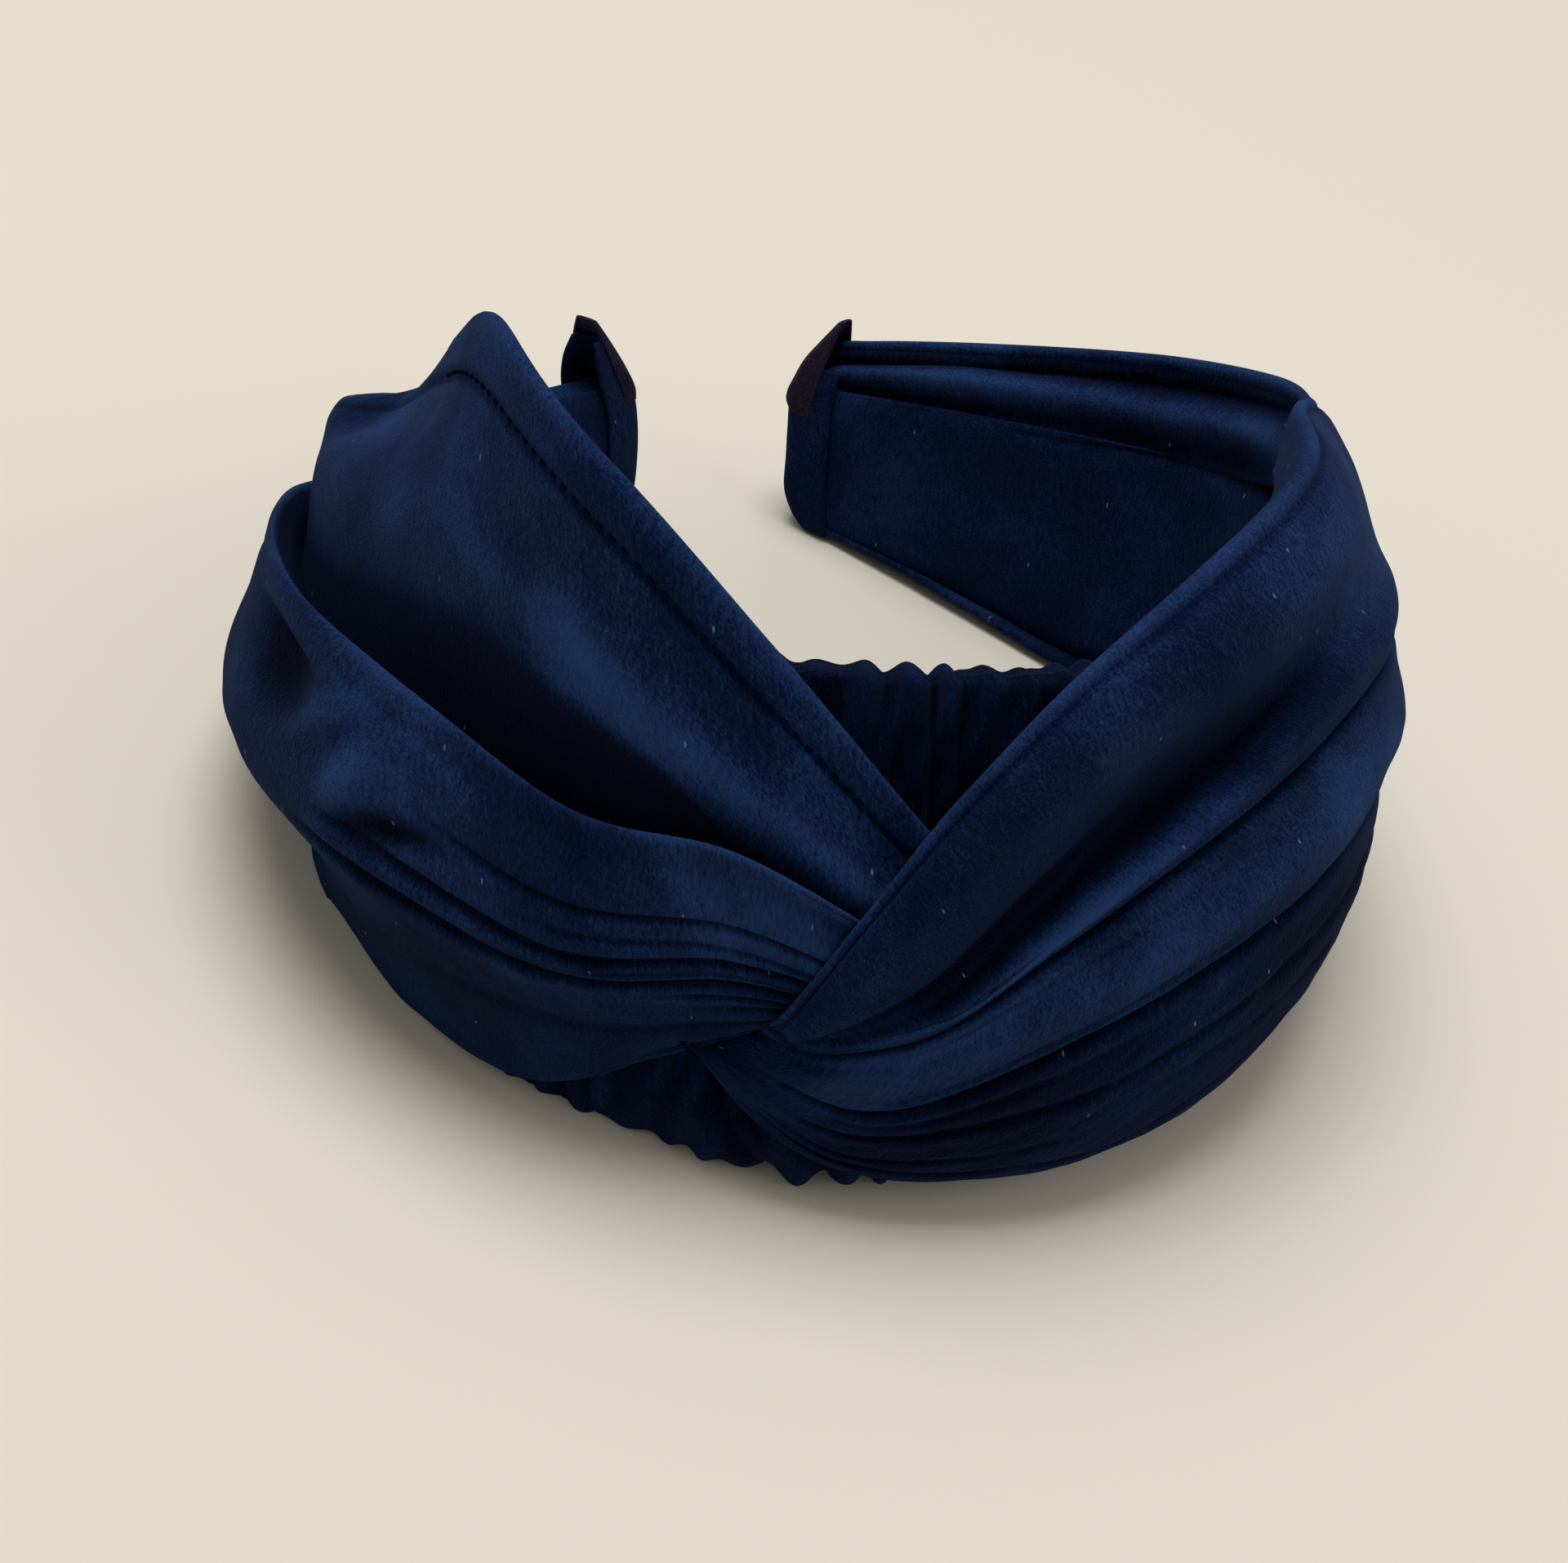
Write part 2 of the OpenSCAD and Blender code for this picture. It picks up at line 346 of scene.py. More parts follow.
# Each line lists (along, up, out) in mm. The left lines run from the tip to the knot.
LEFT_LINES = [
    ("turned_in", [(-182, 9.5, -1.6), (-160, 13.5, -2), (-134, 18, -2), (-118, 22.5, -2),
                   (-104, 30, -12), (-89, 39.5, -14.5), (-69, 49, -11), (-42, 45, -1), (-22, 30, 2.5),
                   (-4, 10, 5), (3, 2, 5)]),
    ("edge", [(-182, 12, 2.6), (-160, 15, 4), (-134, 23, 4), (-118, 29, 1), (-106, 37, -11),
              (-90, 48.5, -12), (-71, 57.5, -8.5), (-43, 53, 2.5), (-22, 37, 6), (-4, 17, 9),
              (3, 9, 9)]),
    ("hem", [(-182, 8, 4), (-160, 11, 6), (-134, 18, 7), (-118, 26, 4), (-106, 31, -4), (-88, 40, -7),
             (-65, 47, -1.5), (-42, 42, 6), (-22, 28, 9), (-4, 11, 11), (3, 4, 9)]),
    ("flap", [(-182, 4, 4.6), (-160, 7, 7), (-134, 12, 7), (-116, 21, 4), (-104, 26, 2), (-84, 31, 1),
              (-62, 33, 4), (-42, 28, 8), (-22, 19, 12), (-5, 7, 13), (2, 1, 10)]),
    ("valley", [(-182, 2, 4), (-160, 4, 5), (-134, 8, 4.2), (-116, 12, 4), (-100, 11, 4), (-80, 8, 4),
                (-60, 5, 4.2), (-41, 5, 5), (-24, 6, 7.5), (-8, 3, 10), (0, 0, 9)]),
    ("rim_inside", [(-182, 1, 5), (-160, 3, 6.5), (-134, 8, 6), (-118, 14, 5), (-104, 17, 6),
                    (-82, 18, 8), (-58, 16, 9), (-40, 12, 11), (-24, 12, 13), (-9, 6, 12),
                    (-1, 0, 10)]),
    ("rim", [(-182, 0, 5), (-160, 2, 7.5), (-134, 8, 7.5), (-120, 14, 7), (-108, 18, 7.5),
             (-87, 21.5, 10.5), (-58, 20.5, 12), (-38, 16, 14), (-23, 16.5, 15), (-10, 8.5, 13.5),
             (-2, 1, 10)]),
    ("front_top", [(-182, -3, 5.2), (-160, -2, 7.5), (-134, 1, 9.5), (-118, 6, 10), (-106, 9, 10.5),
                   (-86, 12, 13.5), (-57, 11, 16), (-38, 7, 17), (-23, 8, 15.5), (-11, 3, 14),
                   (-3, -1, 10)]),
    ("front_middle", [(-182, -6, 5), (-160, -7, 7), (-134, -7, 9.5), (-118, -5, 12), (-106, -4, 13.5),
                      (-86, -2, 15), (-57, -1, 17), (-38, -3, 16.5), (-23, 0, 14.5), (-12, -2, 13),
                      (-4, -4, 9)]),
    ("front_low", [(-182, -9, 4), (-160, -12, 4.6), (-134, -14, 4), (-116, -15, 3.4), (-104, -14, 4),
                   (-85, -12.5, 6.5), (-57, -11, 12.3), (-38, -11, 13), (-24, -7, 13), (-14, -5, 12),
                   (-6, -6, 8)]),
    ("bottom", [(-182, -11, 2.5), (-160, -14, 2.6), (-134, -17, 2.6), (-116, -19.5, 2.6),
                (-104, -21, 2.6), (-85, -24, 3.2), (-60, -27.5, 4.6), (-42, -25.5, 8), (-28, -15, 10.4),
                (-17, -7.5, 10.5), (-8, -8, 7)]),
    ("tucked", [(-182, -11, 1.4), (-160, -13.8, 1.4), (-134, -16.6, 1.6), (-116, -19, 1.5),
                (-104, -20.6, 1.5), (-85, -23.4, 1.8), (-60, -26.6, 2.8), (-42, -23.5, 4.6),
                (-29, -12.5, 7), (-18, -5.5, 7), (-10, -7, 5)]),
    ("turned_under", [(-182, -10.6, -1.9), (-160, -13, -2.3), (-134, -15.6, -2.4), (-116, -17.6, -2.4),
                      (-104, -19, -2.4), (-85, -21, -2.4), (-60, -24, 3.4), (-42, -20, 4), (-30, -9, 5),
                      (-19, -4, 5), (-11, -6, 4)]),
]

# The right lines run from the knot to the tip.
RIGHT_LINES = [
    ("turned_in", [(-15, -8, 8), (-14, -4, 11), (-7, 9, 12), (0, 22, 11), (9, 35, 8), (25, 44, 3),
                   (44, 47, -3.5), (64, 43, -9), (86, 33, -5.5), (112, 23.5, -3), (145, 17.6, -2.6),
                   (183, 11.5, -1.6)]),
    ("edge", [(-18, -9, 9), (-16, -3, 14), (-10, 12, 15), (-3, 27, 14), (8, 41, 11), (24, 50, 6),
              (44, 53.5, 0), (66, 51, -8), (88, 44.5, -5), (112, 36.5, 1), (145, 28, 2.5),
              (183, 17, 2.6)]),
    ("strip", [(-17, -9, 10), (-14, -5, 15.5), (-8, 8, 17), (1, 22, 17), (12, 34, 15), (28, 42, 12),
               (48, 46, 6), (70, 44, -0.8), (90, 36.5, 2.4), (112, 28.5, 5), (145, 21, 4.8),
               (183, 12, 3.6)]),
    ("first_valley", [(-18, -8, 10), (-13, -6.5, 14), (-3, 0, 14.4), (6, 11.5, 12.4), (16, 21, 10.4),
                      (30, 30, 9.6), (48, 37, 8), (68, 35, 4.8), (90, 27, 6), (112, 20, 7),
                      (145, 13, 6.5), (183, 6, 4.5)]),
    ("second_lobe", [(-18, -8, 9.5), (-12.5, -7.5, 14.4), (-2, -1.8, 16.6), (8, 9.5, 16.6),
                     (18, 18.5, 16), (33, 27.5, 14.5), (51, 32, 11.5), (71, 29, 8.5), (92, 20, 9.5),
                     (115, 13, 10), (145, 8, 7.5), (183, 4, 4.8)]),
    ("second_crease", [(-18, -9, 9), (-13, -9, 13.6), (-3, -4.5, 15.4), (8, 6.5, 15.6), (20, 15.5, 15),
                       (35, 22.5, 13.6), (53, 26, 11.2), (74, 21.5, 9.4), (95, 13, 10.4),
                       (116, 7, 10.6), (145, 4, 8), (183, 2, 5)]),
    ("main_lobe", [(-19, -10, 9), (-14, -11, 14.5), (-4, -9.5, 17), (10, 0, 18.5), (24, 8, 18.4),
                   (40, 14.5, 17.2), (57, 16.5, 14.8), (76, 12, 12.6), (96, 5, 12), (116, 1, 12),
                   (145, -1, 8), (183, 0, 5)]),
    ("third_valley", [(-22, -11, 9), (-17, -13, 13), (-6, -16, 14.6), (9, -8, 16.2), (25, 0.5, 16.6),
                      (41, 5.5, 15.6), (58, 7, 13.4), (77, 3, 12), (98, -2, 11.6), (116, -5, 11),
                      (145, -5, 8), (183, -3, 4.8)]),
    ("low_lobe", [(-26, -11, 8), (-20, -14, 12.6), (-8, -21, 14), (10, -17, 16.8), (27, -9, 17.4),
                  (43, -4.5, 16.6), (60, -4, 14.4), (80, -7, 12.6), (99, -10, 11.4), (116, -11.5, 10.4),
                  (145, -9.5, 7), (183, -6, 4.2)]),
    ("low_middle", [(-28, -10.5, 7.8), (-23, -13, 12), (-10, -24, 13.2), (10, -24.5, 15),
                    (28, -20, 15.4), (44, -16, 14.4), (61, -14, 13), (80, -14.5, 11.4), (99, -14.5, 10),
                    (116, -15, 8.6), (145, -12, 6), (183, -8, 3.8)]),
    ("bottom", [(-31, -9, 7), (-26, -11, 11), (-12, -25, 12), (10, -29, 11), (30, -27, 11),
                (46, -25, 10), (63, -24, 9), (81, -22.8, 8), (100, -20, 7), (116, -18, 6),
                (145, -15.2, 4.4), (183, -11, 3)]),
    ("tucked", [(-32, -8, 5), (-27, -9, 7), (-15, -22, 7), (8, -28, 5), (30, -27, 4), (46, -26, 3),
                (63, -25, 2.2), (81, -24, 0.8), (100, -21.2, 0.4), (116, -18.8, 0.6), (145, -15.2, 1),
                (183, -11.2, 1.4)]),
    ("turned_under", [(-31, -7, 4), (-26, -8, 5), (-16, -18, 5), (8, -24, 4), (30, -23.6, 3.6),
                      (46, -23.6, 3), (63, -24, -2.6), (81, -23.8, -8), (100, -21, -7.6),
                      (116, -18.8, -6.6), (145, -15, -4.2), (183, -10.6, -2)]),
]


def panel(lines, rows, cols):
    """A sheet through listed lines: rows across the band, cols along it."""
    table = np.array([line for _, line in lines], float)
    along = np.stack([through(line, cols) for line in table])
    return through(along, rows)


def surface(grid):
    """The points of a grid of (along, up, out), in mm."""
    return band_point(grid[..., 0], grid[..., 1], grid[..., 2])


def crease(line, s, centre, depth, width, first, last, drift=0.0, seed=0):
    """A narrow valley along the band between two places, with soft ends and a slightly wandering path."""
    path = centre + drift * wander(s, 60 + seed, 22)
    ends = smooth_step(first, first + 14, s) * smooth_step(last, last - 14, s)
    away = np.abs(line - path) / width
    return depth * ends * (0.45 * np.exp(-0.5 * (away / 1.9) ** 2) - np.exp(-away ** 1.3))


# Creases: line, depth in mm, width in lines, from and to along the band in mm, and how far they stray.
LEFT_CREASES = [
    (7.02, 1.2, 0.07, -58, 4, 0.05), (7.33, 0.8, 0.06, -46, 4, 0.06), (7.62, 1.8, 0.08, -70, 4, 0.07),
    (7.85, 1.0, 0.06, -56, 4, 0.05), (8.05, 2.0, 0.09, -76, 4, 0.06), (8.32, 1.0, 0.06, -36, 4, 0.05),
    (8.65, 1.1, 0.09, -28, 4, 0.06), (9.10, 0.6, 0.12, -60, 4, 0.08), (9.60, 1.2, 0.10, -34, 4, 0.06),
    (10.20, 0.8, 0.12, -70, 4, 0.06), (10.80, 1.2, 0.10, -50, 4, 0.05),
]
RIGHT_CREASES = [
    (2.80, 1.1, 0.10, -16, 20, 0.03), (3.20, 0.5, 0.14, 2, 46, 0.03), (4.45, 0.4, 0.06, -14, 20, 0.05),
    (5.00, 1.9, 0.10, -16, 100, 0.03),
    (5.45, 0.5, 0.07, -14, 24, 0.05), (6.55, 0.5, 0.08, -14, 34, 0.05), (7.00, 2.3, 0.13, -20, 112, 0.04),
    (7.38, 0.5, 0.07, -18, 26, 0.08), (7.75, 1.0, 0.09, -20, 84, 0.16), (8.30, 0.7, 0.07, 14, 62, 0.22),
    (8.50, 0.6, 0.08, -22, 20, 0.08), (9.00, 0.9, 0.10, -22, 70, 0.20),
]


def crease_shift(line, s, creases, seed):
    """How far all the creases move the cloth in or out, in mm."""
    total = 0.0 * s
    for k, (centre, depth, width, first, last, drift) in enumerate(creases):
        total += crease(line, s, centre, depth, width, first, last, drift, seed + k)
    return total


def crease_shade(line, s, creases, seed):
    """Painted shade down in the creases, which spreads a little wider than they do."""
    total = 0.0 * s
    for k, (centre, depth, width, first, last, drift) in enumerate(creases):
        valley = crease(line, s, centre, depth, width * 1.25, first, last, drift, seed + k)
        total += np.minimum(valley, 0)
    return total


def left_panel():
    """The left panel's points and the shade and highlights painted on it: an upper flap, the big fold and
    the front lobe.
    """
    grid = panel(LEFT_LINES, PANEL_ROWS, PANEL_COLS)
    s = grid[..., 0]
    line = np.linspace(0, len(LEFT_LINES) - 1, PANEL_ROWS)[:, None]
    points = surface(grid)
    normals = -grid_normals(points)
    shift = crease_shift(line, s, LEFT_CREASES, 0)
    # Puckers where the cloth was stitched short beside the arm: a hollow, two short ridges and a dimple.
    hollow = smooth_step(6.42, 6.7, line) * smooth_step(7.55, 6.95, line) * hump(-81, 8, s)
    first_ridge = hump(0, 2.6, s + 66 + 11 * (line - 6.6)) * hump(6.9, 0.4, line)
    second_ridge = hump(0, 2.6, s + 61 + 5 * (line - 6.8)) * hump(7.2, 0.4, line)
    dimple = hump(0, 0.13, line - 7.42 + 0.03 * (s + 57)) * hump(-57, 5.5, s)
    shift += 1.1 * first_ridge + 1.4 * second_ridge - 1.6 * dimple - 4.2 * hollow
    # Slanting ripples low on the side of the lobe.
    side = hump(-92, 18, s) * hump(9.4, 1.2, line)
    shift += 0.4 * side * np.sin(line * 7 + s * 0.16 + 2.2 * wander(s, 8, 12))
    # A hem 9 mm deep is turned under and sewn along the upper edge, leaving a shallow groove.
    hem = smooth_step(1.70, 1.56, line) * 0.4 - 0.5 * hump(HEM_LINE, 0.06, line)
    shift += hem * smooth_step(-120, -95, s)
    shift += 0.35 * hump(EDGE_ROLL, 0.12, line) * smooth_step(-120, -95, s)
    # The lobe's upper edge is a rolled double rim.
    shift += (0.5 * hump(5.9, 0.22, line) - 0.35 * hump(6.4, 0.10, line)) * smooth_step(-2, -14, s)
    # Slow waves and small dents all over, from handling.
    shift += 0.35 * wander(s + 9 * line, 11, 16) * smooth_step(2, 2.6, line)
    shift += 0.14 * wander(s - 14 * line, 12, 4.5) * smooth_step(6.8, 7.6, line)
    # Painted shade, black down in the creases and the big fold; painted highlights, pale along the flap's
    # low ridge and beside the knot.
    painted_shading = 0.75 * crease_shade(line, s, LEFT_CREASES, 0)
    brink = np.interp(s, [-112, -92, -77, -56, -31, -10], [3.6, 3.4, 3.25, 3.05, 2.95, 3.45])
    fold_shade_mask = smooth_step(0, 0.3, line - brink) * smooth_step(5.55, 5.3, line)
    painted_shading -= 2.0 * fold_shade_mask * smooth_step(-4, -22, s)
    painted_shading += 0.6 * hump(2.75, 0.28, line) * hump(-30, 34, s)
    painted_shading += 0.5 * hump(6.9, 0.7, line) * hump(-16, 10, s)
    # Paler on the flap near the tip and darker low on the front lobe.
    painted_shading += 0.35 * hump(2.2, 0.8, line) * hump(-96, 16, s)
    painted_shading -= 0.35 * hump(9.2, 0.9, line) * hump(-60, 40, s)
    # Painted highlights on the rolled edge and the rim, and painted shade in the hem's groove.
    painted_shading += 0.35 * hump(EDGE_ROLL, 0.2, line) + 0.45 * hump(5.75, 0.28, line)
    painted_shading -= 0.35 * hump(HEM_LINE, 0.05, line)
    # Painted shade in the hollow and the dimple, painted highlights on the two short ridges.
    painted_shading -= 1.0 * hollow + 1.2 * dimple
    painted_shading += 0.5 * first_ridge + 0.6 * second_ridge
    return points + normals * shift[..., None], painted_shading


def right_panel():
    """The right panel's points and the shade and highlights painted on it: the strip over the knot and
    three lobes.
    """
    grid = panel(RIGHT_LINES, PANEL_ROWS, PANEL_COLS)
    s = grid[..., 0]
    line = np.linspace(0, len(RIGHT_LINES) - 1, PANEL_ROWS)[:, None]
    points = surface(grid)
    normals = -grid_normals(points)
    shift = crease_shift(line, s, RIGHT_CREASES, 20)
    # On the arm the cloth turned over the upper edge lies in long narrow pleats.
    arm = smooth_step(84, 112, s) * smooth_step(2.3, 1.7, line)
    pleats = np.sin(line * 10 - 8.4 + 0.9 * wander(s, 31, 25))
    shift += 1.4 * arm * pleats
    # Close to the tip one pleat bulges.
    bulge = hump(0.55, 0.3, line) * hump(163, 9, s)
    shift += 1.1 * bulge
    # The upper edge is rolled over a turned hem and has a shallow groove below it.
    roll = smooth_step(98, 78, s)
    shift += (0.55 * hump(EDGE_ROLL, 0.13, line) - 0.45 * hump(1.27, 0.05, line)) * roll
    # Slow waves and small dents, leaving the crossing over the knot flat.
    off_knot = smooth_step(2, 12, np.abs(s - 4))
    shift += 0.35 * wander(s + 9 * line, 33, 18) * smooth_step(2, 2.6, line) * off_knot
    shift += 0.12 * wander(s - 14 * line, 34, 4.5) * smooth_step(5.5, 6.5, line)
    # Short cross wrinkles where the low lobes are gathered towards the knot.
    shift += 0.22 * wander(1.4 * s + 26 * line, 35, 3.0) * hump(8.2, 1.0, line) * hump(28, 34, s)
    # Painted shade, dark in the valleys and low lobes; painted highlights, pale along the ridges that
    # face the light.
    painted_shading = 0.7 * crease_shade(line, s, RIGHT_CREASES, 20)
    painted_shading -= 1.5 * hump(3.05, 0.42, line) * hump(14, 18, s)
    painted_shading += 0.8 * hump(4.0, 0.35, line) * hump(8, 12, s)
    painted_shading -= 0.5 * smooth_step(7.0, 7.5, line) * hump(30, 60, s)
    # Painted highlight on the rolled upper edge and painted shade in the groove below it.
    painted_shading += (0.4 * hump(EDGE_ROLL, 0.18, line) - 0.35 * hump(1.28, 0.05, line)) * roll
    painted_shading += 0.45 * hump(6.0, 0.5, line) * hump(30, 34, s)
    painted_shading += 0.4 * hump(5.4, 0.16, line) * hump(-2, 12, s)
    painted_shading += 0.3 * hump(2.6, 0.9, line) * hump(62, 26, s)
    # Painted highlights on the pleat crests and the bulge near the tip, painted shade in the pleat
    # furrows.
    painted_shading += 0.55 * arm * pleats - 0.1 * arm + 0.4 * bulge
    return points + normals * shift[..., None], painted_shading


# Each grid is turned end for end, so that the cloth's thickness goes towards the head.
left_points, left_painted_shading = left_panel()
left_cloth = cloth_mesh("left_panel", left_points[:, ::-1], VELVET_THICKNESS, navy_velvet,
                        painted_shading=left_painted_shading[:, ::-1])
right_points, right_painted_shading = right_panel()
right_cloth = cloth_mesh("right_panel", right_points[:, ::-1], VELVET_THICKNESS, navy_velvet,
                         painted_shading=right_painted_shading[:, ::-1])


# ---------------------------------------------------------------- lining, sleeve, caps

def upper_edge(y):
    """Height of the core's upper edge at each place from front to back."""
    return np.interp(y, [-64, -32, 0, 30, 48, 66, 80], [32, 29, 24.4, 18.9, 15, 10.6, 7])


def lower_edge(y):
    """Height of the table under the leaning band at each place from front to back."""
    return -22.25 + math.tan(LEAN) * y


def lining(side):
    """Smooth cloth glued to the inside of the band, from under the sleeve to the tip."""
    s = np.linspace(50, 183.5, 150)[None, :] * side
    t = np.linspace(0, 1, 40)[:, None]
    base = band_point(s, 0 * s, -1.5 + 0 * s)
    top = upper_edge(base[..., 1]) + 0.4
    low = lower_edge(base[..., 1]) + 1.4 + 1.0 * hump(100, 34, s * side)
    z = top + (low - top) * t
    edge = hump(0, 0.05, t) + hump(1, 0.05, t)
    out = -2.4 - 0.15 * wander(s * side + 20 * t, 41, 12) + 0.8 * edge
    points = band_point(s + 0 * t, z, out)
    return points if side > 0 else points[:, ::-1]


def sleeve():
    """Cloth ruched round the crown of the core, puffed out below the knot."""
    rows, cols = 120, 420
    reach, top, foot, snug = 62, 34.6, 33.3, 3.4
    s = np.linspace(-reach, reach, cols)[None, :]
    # The loop round the core as (up, out): inside, under, out under the knot, and up the outside.
    loop = np.array([(top, 0.2), (33, -2.6), (22, -3.4), (0, -3.4), (-22, -3.4), (-32, -2.4), (-33.2, 2),
                     (-31.5, 7), (-26, 9.2), (-19, 7), (0, 3.4), (22, 3.2), (33, 2.6)])
    ring = through(np.concatenate([loop, loop[:1]]), rows + 1)[:-1]
    z = ring[:, :1] + 0 * s
    out = ring[:, 1:] + 0 * s
    # It puffs out below the knot only, and lies snug on the core elsewhere.
    puff = hump(-13, 19, s)
    out = np.where(out > snug, snug + (out - snug) * puff, out)
    y = -(CROWN_RADIUS + out) * np.cos(s / CROWN_RADIUS)
    room = lower_edge(y) + foot
    z = np.where(z < 0, z * (1 - room / foot), z * (upper_edge(y) + 2) / top)
    points = band_point(s + 0 * z, z, out)
    # Ruching: folds across the band 5 to 7 mm apart, each a little different, deeper where it puffs out.
    lean = 0.22 * z
    phase = (s + lean) * 0.48 + 2.4 * wander(s, 51, 8)
    ridge = np.abs(np.sin(phase)) ** 0.8 - 0.5
    fine = np.sin((s - 0.3 * z) * 1.3 + 2.2 * wander(s, 53, 9) + 0.6 * wander(z, 55, 8))
    outside = smooth_step(3.4, 8, out)
    shift = (0.85 + 1.7 * outside) * ridge * (0.75 + 0.45 * wander(s, 54, 10)) + 0.35 * fine
    return points, shift


right_lining = cloth_mesh("lining_right", lining(1), LINING_THICKNESS, lining_velvet)
left_lining = cloth_mesh("lining_left", lining(-1), LINING_THICKNESS, lining_velvet)
sleeve_points, sleeve_shift = sleeve()
sleeve_points = sleeve_points + grid_normals(sleeve_points, True) * sleeve_shift[..., None]
# The sleeve's colour carries painted shade: darker all over, and following the folds of its ruching in
# light and shade.
sleeve_cloth = cloth_mesh("gathered_sleeve", sleeve_points, SLEEVE_THICKNESS, navy_velvet, closed=True,
                          painted_shading=0.4 * sleeve_shift - 0.5)


def tip_cap(side, levels, reach, lean, wrap=8.0, loose=1.0):
    """Cloth folded round the end of the band: for each height in mm, its share of the fold and its lean.

    wrap is how far the fold comes back along the band, and loose how much wider it is than the band.
    """
    start = 179.5
    fold = np.array([(185.8 - wrap, -2.9), (185.6 - 0.5 * wrap, -3.1), (184.8, -2.6), (185.6, 0),
                     (184.6, 3.4), (185.6 - 0.5 * wrap, 4.6), (185.8 - wrap, 4.8)])
    rings = []
    for level, share, back in zip(levels, reach, lean):
        s = start + (fold[:, 0] - start) * share * loose + back
        out = fold[:, 1] * loose * (0.25 + 0.75 * share)
        rings.append(np.stack([s, level + 0 * s, out], axis=-1))
    grid = through(np.stack([through(ring, 40) for ring in rings]), 60)
    points = band_point(grid[..., 0] * side, grid[..., 1], grid[..., 2])
    return points if side > 0 else points[:, ::-1]


# The purple-brown cap strips, with one corner pulled up to a point, and the turned ends under them.
right_cap = cloth_mesh("tip_cap_right",
                       tip_cap(1, [7, 9, 12, 15, 18, 22], [0.9, 1, 0.9, 0.75, 0.5, 0.1],
                               [2.6, 2.8, 2.6, 2.4, 2.2, 2.2], wrap=5.0, loose=1.12),
                       TIP_THICKNESS, cap_velvet)
right_end = cloth_mesh("end_fold_right",
                       tip_cap(1, [-11.6, -9.5, -6, -1, 4, 9, 12.5, 15],
                               [0.6, 0.85, 1, 1, 1, 1, 0.85, 0.6],
                               [0.4, 1.0, 1.8, 2.2, 2.6, 2.8, 2.4, 2.0]),
                       TIP_THICKNESS, lining_velvet)
left_cap = cloth_mesh("tip_cap_left",
                      tip_cap(-1, [10, 12, 15, 18, 21, 24], [0.9, 0.95, 0.85, 0.65, 0.4, 0.1],
                              [-2.2, -3.2, -4.6, -5.6, -6.4, -7.0], wrap=4.0, loose=1.12),
                      TIP_THICKNESS, cap_velvet)
left_end = cloth_mesh("end_fold_left",
                      tip_cap(-1, [-11.6, -9, -5, -1, 4, 9, 12, 15, 18, 21],
                              [0.7, 1, 1.05, 1.05, 1.05, 1, 0.95, 0.8, 0.6, 0.3],
                              [-0.6, -0.4, -0.2, -0.2, -0.8, -1.8, -3.2, -4.6, -5.6, -6.2]),
                      TIP_THICKNESS, navy_velvet)


# ---------------------------------------------------------------- hem stitches

def stitches(points, row, first, last, spacing, length):
    """Thread showing as short bars sunk in the pile, spaced evenly along one row of the cloth."""
    line = points[row, first:last]
    normal = -grid_normals(points)[row, first:last]
    run = np.concatenate([[0], np.cumsum(np.linalg.norm(np.diff(line, axis=0), axis=1))])
    # Each bar dips into the pile at both ends.
    dip = np.array([-0.3, 0.05, 0.15, 0.05, -0.3])[:, None]
    rings, sides = len(dip), 8
    verts, faces = [], []
    for start in np.arange(0, run[-1] - length, spacing):
        steps = np.linspace(start, start + length, rings)
        centre = np.stack([np.interp(steps, run, line[:, k]) for k in range(3)], axis=-1)
        up = np.stack([np.interp(steps, run, normal[:, k]) for k in range(3)], axis=-1)
        centre = centre + up * dip
        along = np.gradient(centre, axis=0)
        side = np.cross(along, up)
        side /= np.linalg.norm(side, axis=1, keepdims=True)
        base = len(verts)
        for c, u, w in zip(centre, up, side):
            for k in range(sides):
                angle = 2 * math.pi * k / sides
                verts.append(c + THREAD_RADIUS * (u * math.cos(angle) + w * math.sin(angle)))
        for ring in range(rings - 1):
            for k in range(sides):
                a = base + ring * sides + k
                b = base + ring * sides + (k + 1) % sides
                faces.append((a, b, b + sides, a + sides))
        last_ring = base + (rings - 1) * sides
        faces.append(tuple(base + k for k in range(sides)))
        faces.append(tuple(last_ring + k for k in reversed(range(sides))))
    return new_object("hem_thread", laid_down(np.array(verts)).tolist(), faces, stitch_thread)


# The row starts where the flap leaves the arm and stops short of the knot.
hem_row = round((PANEL_ROWS - 1) * HEM_LINE / (len(LEFT_LINES) - 1))
hem_thread = stitches(left_points, hem_row, first=156, last=284, spacing=2.1, length=1.4)


# ---------------------------------------------------------------- how each piece moves

# Cloth that crosses a side hinge is only baked in place and given to no body; the arm and offset listed
# with it are not used.
SIDE = 65 * MM
for piece, arm, x in ((left_cloth, "left_arm", -SIDE), (left_lining, "left_arm", -SIDE),
                      (hem_thread, "left_arm", -SIDE), (right_cloth, "right_arm", SIDE),
                      (right_lining, "right_arm", SIDE)):
    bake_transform(piece)
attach(sleeve_cloth, "crown")
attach(left_cap, "left_arm")
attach(left_end, "left_arm")
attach(right_cap, "right_arm")
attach(right_end, "right_arm")

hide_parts("left_wrap_crown", "left_flap_crown", "left_wrap_arm")
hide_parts("right_strip_crown", "right_wrap_crown", "right_wrap_arm")
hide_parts("lining_left_crown", "lining_left_arm")
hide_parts("lining_right_crown", "lining_right_arm")
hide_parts("crown_sleeve")
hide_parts("left_tip_cap")
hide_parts("left_tip_cap")
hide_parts("right_tip_cap")
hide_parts("right_tip_cap")
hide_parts("hem_stitches")


# ---------------------------------------------------------------- floor, light, camera

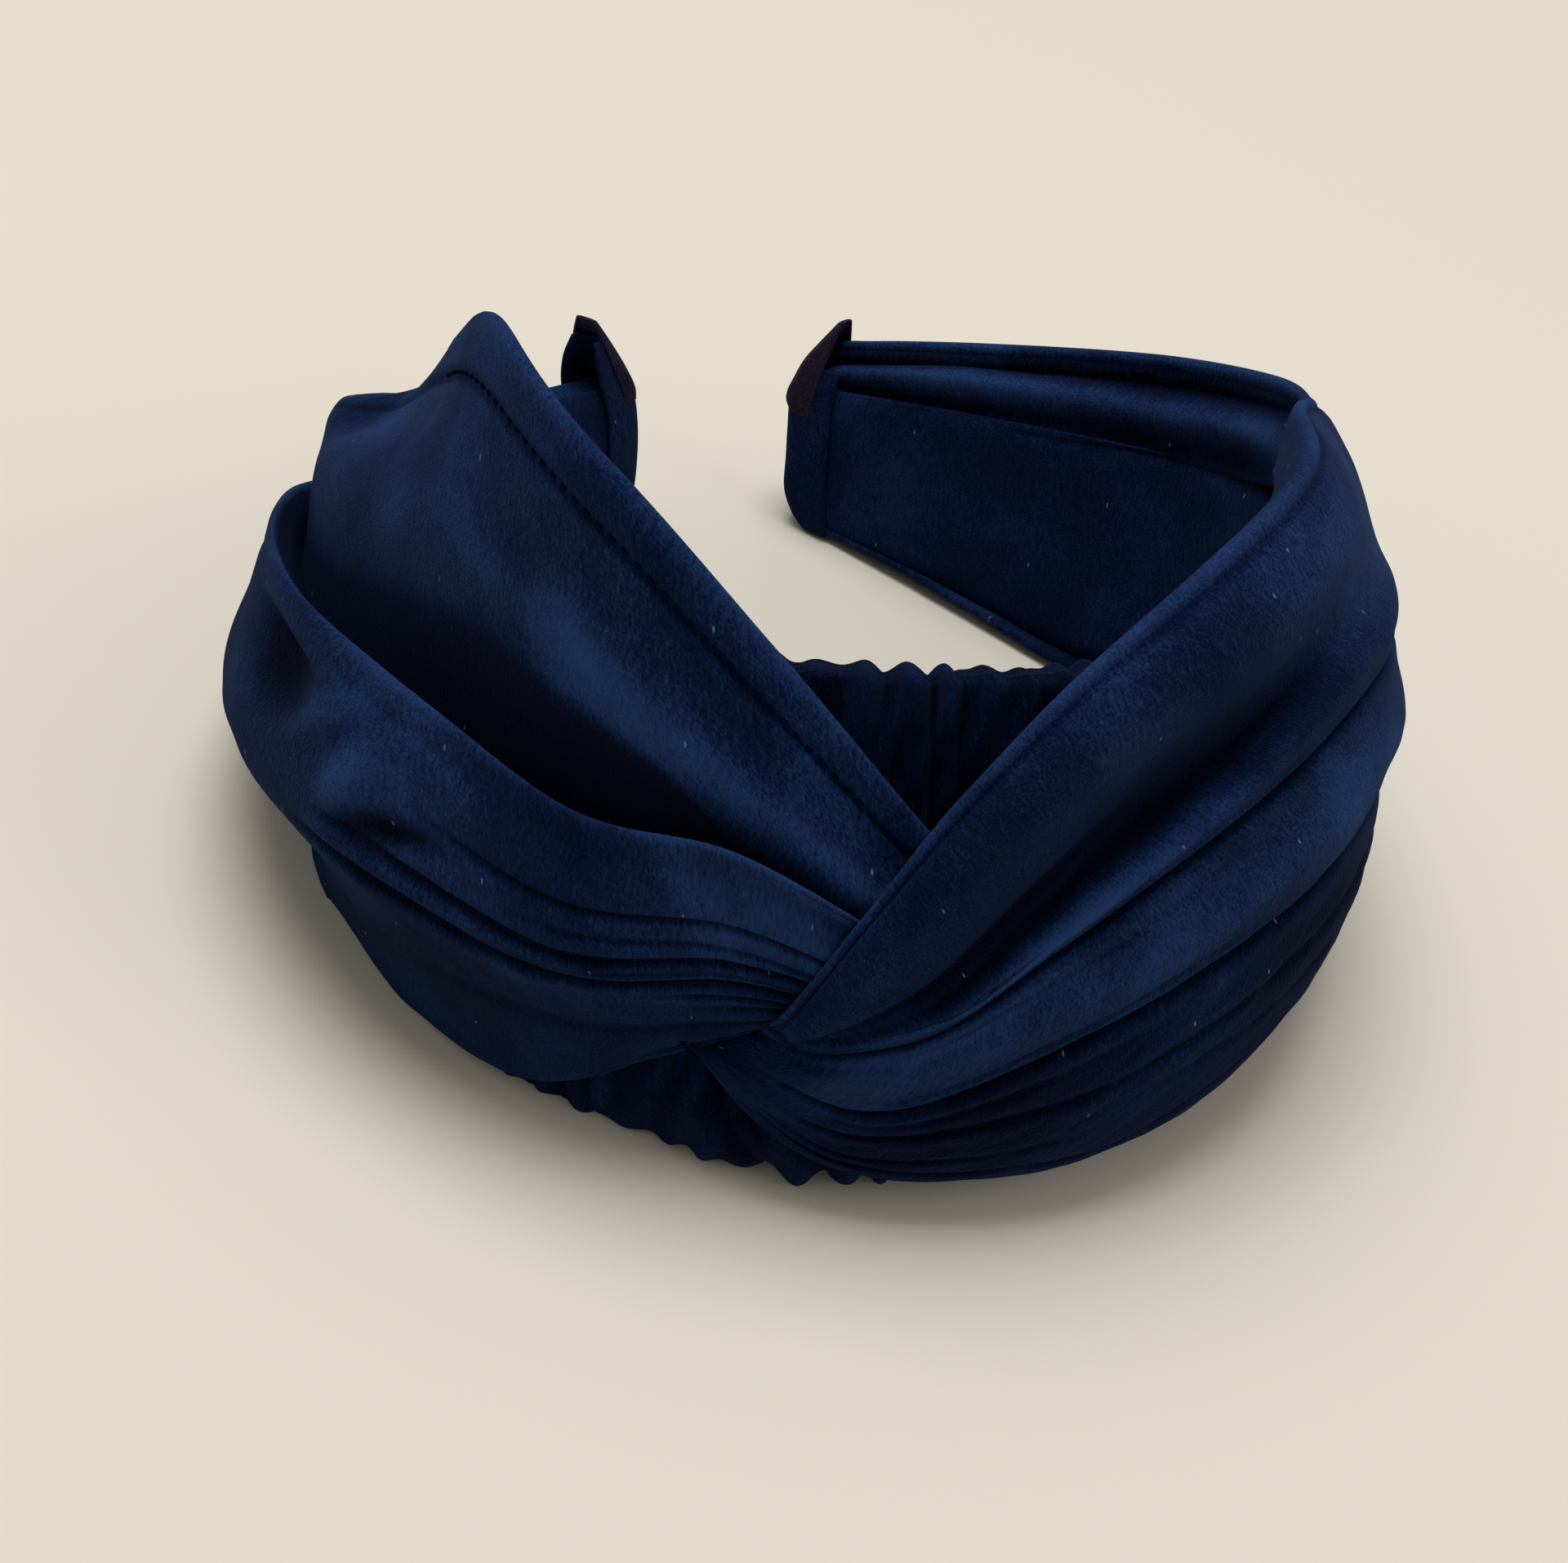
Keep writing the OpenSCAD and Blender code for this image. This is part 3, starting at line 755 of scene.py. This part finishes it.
def floor_plane():
    """A wide sheet of pale matte paper, which shows the soft shadow under the band."""
    material, tree = new_material("pale_paper")
    body = add(tree, "ShaderNodeBsdfPrincipled",
               {"Base Color": hex_colour("#DDD7CA"), "Roughness": 0.95, "Specular IOR Level": 0.0})
    add(tree, "ShaderNodeOutputMaterial", {}, {"Surface": body.outputs["BSDF"]})
    half = 6.0
    corners = [(-half, -half, 0), (half, -half, 0), (half, half, 0), (-half, half, 0)]
    return new_object("floor", corners, [(0, 1, 2, 3)], material, smooth=False)


floor_plane()


def aim(direction):
    """Rotation that turns a lamp's own downward axis to a direction."""
    back = -direction / np.linalg.norm(direction)
    side = np.cross((0, 1, 0) if abs(back[2]) > 0.95 else (0, 0, 1), back)
    side /= np.linalg.norm(side)
    return np.stack([side, np.cross(back, side), back], axis=1).tolist()


def soft_light(name, place, target, size, power, colour):
    """A round soft box, size in metres and power in watts."""
    data = bpy.data.lights.new(name, "AREA")
    data.shape = "DISK"
    data.size = size
    data.energy = power
    data.color = hex_colour(colour)[:3]
    obj = bpy.data.objects.new(name, data)
    bpy.context.collection.objects.link(obj)
    direction = np.array(target) - np.array(place)
    obj.location = place
    obj.rotation_euler = Matrix(aim(direction)).to_euler()
    return obj


world = bpy.data.worlds.new("studio")
world.use_nodes = True
room_light = world.node_tree.nodes["Background"]
room_light.inputs["Color"].default_value = hex_colour("#F4F1EC")
room_light.inputs["Strength"].default_value = 0.42
bpy.context.scene.world = world
soft_light("window_above", (-0.1, 0.15, 1.3), (0, 0, 0), size=0.9, power=12.5, colour="#FFFFFF")
soft_light("fill_right", (0.9, -0.7, 0.8), (0, 0, 0.03), size=0.8, power=2.5, colour="#FFFFFF")


def place_camera(azimuth, elevation, roll, distance, shift_right, shift_up, lens):
    """Angles in degrees and lengths in mm are measured from the level band, then leaned with it."""
    az, el, ro = (math.radians(v) for v in (azimuth, elevation, roll))
    back = np.array([math.sin(az) * math.cos(el), -math.cos(az) * math.cos(el), math.sin(el)])
    right = np.array([math.cos(az), math.sin(az), 0.0])
    up = np.cross(back, right)
    eye = right * shift_right + up * shift_up + back * distance
    turned_right = right * math.cos(ro) + up * math.sin(ro)
    turned_up = -right * math.sin(ro) + up * math.cos(ro)
    c, s = math.cos(LEAN), math.sin(LEAN)
    lean = np.array([[1, 0, 0], [0, c, s], [0, -s, c]])
    axes = lean @ np.stack([turned_right, turned_up, back], axis=1)
    place = (lean @ eye + np.array([0, 0, MIDDLE_HEIGHT])) * MM
    data = bpy.data.cameras.new("camera")
    data.lens = lens
    data.sensor_width = 36
    data.clip_start = 0.01
    obj = bpy.data.objects.new("camera", data)
    bpy.context.collection.objects.link(obj)
    matrix = np.eye(4)
    matrix[:3, :3] = axes
    matrix[:3, 3] = place
    obj.matrix_world = Matrix(matrix.tolist())
    bpy.context.scene.camera = obj


place_camera(azimuth=-16.5, elevation=30.6, roll=8.0, distance=396, shift_right=-1.3, shift_up=-16.8,
             lens=67.5)
bpy.context.scene.view_settings.view_transform = "Standard"
